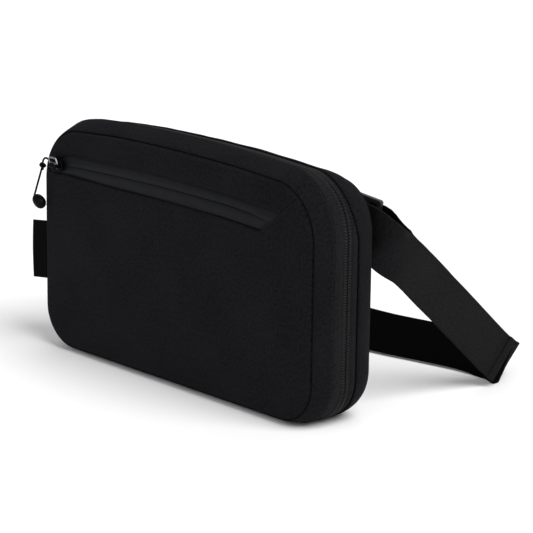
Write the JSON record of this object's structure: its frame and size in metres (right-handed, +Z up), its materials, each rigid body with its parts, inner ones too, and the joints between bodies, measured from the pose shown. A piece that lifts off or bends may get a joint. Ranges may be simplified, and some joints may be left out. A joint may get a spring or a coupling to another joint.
{
  "type": "sling bag",
  "caption": "Low rectangular zipped sling bag with rounded corners, a front pocket with a coated zip, a cord puller and a webbing strap folded behind it.",
  "frame": {"origin": "centre of the flat base that the bag stands on", "axes": "+X along the bag's width, from the label side to the ladder lock side; +Y from the front panel to the back panel; +Z up"},
  "size_m": [0.2709, 0.1888, 0.1489],
  "materials": {
    "shell_fabric": "near-black matte fine-woven polyester",
    "spacer_mesh": "black spacer mesh",
    "foam": "closed-cell foam sheet",
    "lining": "thin dark grey lining cloth",
    "binding_tape": "black grosgrain binding",
    "zip_tape": "black woven zip tape",
    "coil": "black nylon coil",
    "coated_tape": "satin coated water-resistant zip tape",
    "zip_metal": "gloss black zinc",
    "buckle_plastic": "black acetal",
    "webbing": "black woven polyester webbing",
    "label": "black satin woven label",
    "cord": "black braided cord",
    "pull_rubber": "gloss black moulded rubber"
  },
  "bodies": {
    "rear_shell": {"back_gusset": "shell_fabric", "back_panel": "shell_fabric", "back_pad": "spacer_mesh", "back_foam": "foam", "back_lining": "lining", "back_seam_binding": "binding_tape", "bottom_gusset": "shell_fabric", "main_zip_tape_back": "zip_tape", "main_zip_coil_back": "coil", "slip_pocket": "lining", "slip_pocket_hem": "lining", "right_tab_patch": "webbing", "left_tab_patch": "webbing"},
    "front_shell": {"front_main_panel": "shell_fabric", "front_yoke_panel": "shell_fabric", "front_gusset": "shell_fabric", "main_zip_tape_front": "zip_tape", "main_zip_coil_front": "coil", "front_seam_binding": "binding_tape", "front_lining": "lining", "pocket_pouch": "lining", "pocket_zip_tape_lower": "coated_tape", "pocket_zip_tape_upper": "coated_tape", "pocket_zip_coil_lower": "coil", "pocket_zip_coil_upper": "coil", "pocket_zip_stop": "coil", "side_label": "label"},
    "pocket_slider": {"pocket_slider": "zip_metal"},
    "pocket_pull": {"pocket_pull_ring": "zip_metal"},
    "pull_cord": {"pull_cord": "cord", "pull_knot": "cord", "pull_end": "pull_rubber"},
    "main_slider": {"main_slider": "zip_metal"},
    "main_pull": {"main_pull_ring": "zip_metal"},
    "strap": {"ladder_lock": "buckle_plastic", "right_tab_loop": "webbing", "strap_lock_turn": "webbing", "left_strap_ring": "buckle_plastic", "left_tab_loop": "webbing", "strap_ring_turn": "webbing", "strap_right_run": "webbing", "strap_tail": "webbing", "strap_tail_hem": "webbing", "strap_right_fold": "webbing", "strap_back_run": "webbing", "strap_left_fold": "webbing", "strap_left_run": "webbing", "strap_sewn_end": "webbing"}
  },
  "joints": [
    {"name": "front_open", "type": "hinge", "parent": "rear_shell", "child": "front_shell", "pos_m": [0, -0.023, 0.002], "axis": [1, 0, 0], "range_deg": [0, 75]},
    {"name": "pocket_slide", "type": "slide", "parent": "front_shell", "child": "pocket_slider", "axis": [1, 0, 0], "range_m": [0, 0.19]},
    {"name": "pocket_pull_swing", "type": "hinge", "parent": "pocket_slider", "child": "pocket_pull", "pos_m": [-0.106, -0.0294, 0.1213], "axis": [0, 0, 1], "range_deg": [0, 160]},
    {"name": "cord_swing", "type": "hinge", "parent": "pocket_pull", "child": "pull_cord", "pos_m": [-0.1147, -0.0294, 0.1241], "axis": [0, 1, 0], "range_deg": [0, 80]},
    {"name": "main_slide", "type": "slide", "parent": "rear_shell", "child": "main_slider", "axis": [0, 0, 1], "range_m": [0, 0.056]},
    {"name": "main_pull_swing", "type": "hinge", "parent": "main_slider", "child": "main_pull", "pos_m": [-0.1334, -0.001, 0.0425], "axis": [0, 1, 0], "range_deg": [0, 150]},
    {"name": "strap_swing", "type": "hinge", "parent": "rear_shell", "child": "strap", "pos_m": [0, 0.0284, 0.133], "axis": [1, 0, 0], "range_deg": [0, 95]}
  ]
}
